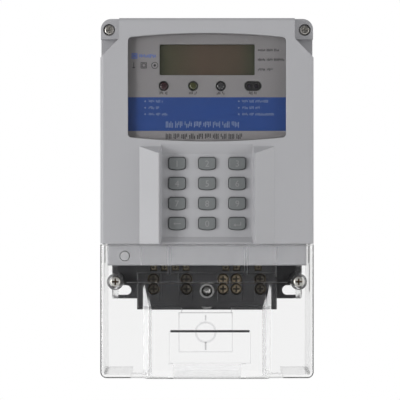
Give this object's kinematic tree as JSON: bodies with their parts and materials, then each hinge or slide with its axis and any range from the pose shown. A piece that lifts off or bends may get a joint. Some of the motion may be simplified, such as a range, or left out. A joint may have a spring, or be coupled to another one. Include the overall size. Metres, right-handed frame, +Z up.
{
  "type": "prepaid electricity meter",
  "caption": "Wall-mounted single-phase prepayment electricity meter with keypad, display window and clear terminal cover.",
  "frame": {"origin": "middle of the flat back face, on the wall plane, half way up", "axes": "+Z up the wall, +Y into the wall, the meter faces -Y, +X to the right as seen from the front"},
  "size_m": [0.122, 0.0692, 0.206],
  "materials": {
    "case_grey": "fine spark texture",
    "case_black": "satin",
    "clear_cover": "clear polycarbonate",
    "lens_clear": "clear polycarbonate",
    "printed_plate": "printed satin",
    "carrier_black": "satin",
    "lcd_dark": "gloss",
    "backlight_white": "milky",
    "led_red": "clear tinted",
    "led_yellow": "clear tinted",
    "led_clear": "water clear",
    "diode_dark": "dark filter",
    "key_grey": "satin",
    "mat_rubber": "matt",
    "gasket_rubber": "foam",
    "board_green": "solder mask",
    "brass": "turned",
    "copper": "rolled copper",
    "zinc_steel": "zinc plated",
    "chip_black": "matt epoxy",
    "relay_black": "satin",
    "transformer_core": "varnished laminations",
    "capacitor_blue": "sleeved",
    "battery_green": "sleeved",
    "ribbon_grey": "vinyl",
    "connector_white": "nylon",
    "coil_white": "potted"
  },
  "bodies": {
    "meter": {"base_case": "case_black", "front_cover": "case_grey", "cover_gasket": "gasket_rubber", "window_lens": "lens_clear", "nameplate": "printed_plate", "display_carrier": "carrier_black", "lcd_backlight": "backlight_white", "lcd_glass": "lcd_dark", "pulse_led": "led_red", "alarm_led": "led_yellow", "power_led": "led_clear", "ir_housing": "carrier_black", "ir_emitter": "diode_dark", "ir_receiver": "diode_dark", "front_board": "board_green", "keypad_mat": "mat_rubber", "tamper_switch": "chip_black", "terminal_block": "case_black", "live_in_terminal": "brass", "live_out_terminal": "brass", "neutral_out_terminal": "brass", "neutral_in_terminal": "brass", "main_terminal_screws": "zinc_steel", "aux_terminals": "brass", "aux_terminal_screws": "brass", "block_screw": "zinc_steel", "block_screw_bush": "zinc_steel", "main_board": "board_green", "latching_relay": "relay_black", "current_shunt": "copper", "live_link": "copper", "neutral_link": "copper", "current_transformer": "coil_white", "supply_transformer": "transformer_core", "smoothing_capacitor": "capacitor_blue", "backup_battery": "battery_green", "metering_chip": "chip_black", "microcontroller": "chip_black", "board_connector": "connector_white", "ribbon_cable": "ribbon_grey", "buzzer": "chip_black", "front_cover_screws": "zinc_steel", "main_board_screws": "zinc_steel", "front_board_screws": "zinc_steel"},
    "terminal_cover": {"terminal_cover": "clear_cover", "cover_seal_screws": "zinc_steel"},
    "tamper_plunger": {"tamper_plunger": "case_grey"},
    "key_1": {"key_1": "key_grey"},
    "key_2": {"key_2": "key_grey"},
    "key_3": {"key_3": "key_grey"},
    "key_4": {"key_4": "key_grey"},
    "key_5": {"key_5": "key_grey"},
    "key_6": {"key_6": "key_grey"},
    "key_7": {"key_7": "key_grey"},
    "key_8": {"key_8": "key_grey"},
    "key_9": {"key_9": "key_grey"},
    "key_clear": {"key_clear": "key_grey"},
    "key_0": {"key_0": "key_grey"},
    "key_enter": {"key_enter": "key_grey"}
  },
  "joints": [
    {"name": "cover_pull", "type": "slide", "parent": "meter", "child": "terminal_cover", "axis": [0, -1, 0], "range_m": [0, 0.09]},
    {"name": "plunger_travel", "type": "slide", "parent": "meter", "child": "tamper_plunger", "axis": [0, 1, 0], "range_m": [0, 0.0015], "stiffness_N_per_m": 300, "springref_m": -0.001},
    {"name": "key_1_press", "type": "slide", "parent": "meter", "child": "key_1", "axis": [0, 1, 0], "range_m": [0, 0.0012], "stiffness_N_per_m": 700, "springref_m": -0.0006},
    {"name": "key_2_press", "type": "slide", "parent": "meter", "child": "key_2", "axis": [0, 1, 0], "range_m": [0, 0.0012], "stiffness_N_per_m": 700, "springref_m": -0.0006},
    {"name": "key_3_press", "type": "slide", "parent": "meter", "child": "key_3", "axis": [0, 1, 0], "range_m": [0, 0.0012], "stiffness_N_per_m": 700, "springref_m": -0.0006},
    {"name": "key_4_press", "type": "slide", "parent": "meter", "child": "key_4", "axis": [0, 1, 0], "range_m": [0, 0.0012], "stiffness_N_per_m": 700, "springref_m": -0.0006},
    {"name": "key_5_press", "type": "slide", "parent": "meter", "child": "key_5", "axis": [0, 1, 0], "range_m": [0, 0.0012], "stiffness_N_per_m": 700, "springref_m": -0.0006},
    {"name": "key_6_press", "type": "slide", "parent": "meter", "child": "key_6", "axis": [0, 1, 0], "range_m": [0, 0.0012], "stiffness_N_per_m": 700, "springref_m": -0.0006},
    {"name": "key_7_press", "type": "slide", "parent": "meter", "child": "key_7", "axis": [0, 1, 0], "range_m": [0, 0.0012], "stiffness_N_per_m": 700, "springref_m": -0.0006},
    {"name": "key_8_press", "type": "slide", "parent": "meter", "child": "key_8", "axis": [0, 1, 0], "range_m": [0, 0.0012], "stiffness_N_per_m": 700, "springref_m": -0.0006},
    {"name": "key_9_press", "type": "slide", "parent": "meter", "child": "key_9", "axis": [0, 1, 0], "range_m": [0, 0.0012], "stiffness_N_per_m": 700, "springref_m": -0.0006},
    {"name": "key_clear_press", "type": "slide", "parent": "meter", "child": "key_clear", "axis": [0, 1, 0], "range_m": [0, 0.0012], "stiffness_N_per_m": 700, "springref_m": -0.0006},
    {"name": "key_0_press", "type": "slide", "parent": "meter", "child": "key_0", "axis": [0, 1, 0], "range_m": [0, 0.0012], "stiffness_N_per_m": 700, "springref_m": -0.0006},
    {"name": "key_enter_press", "type": "slide", "parent": "meter", "child": "key_enter", "axis": [0, 1, 0], "range_m": [0, 0.0012], "stiffness_N_per_m": 700, "springref_m": -0.0006}
  ]
}
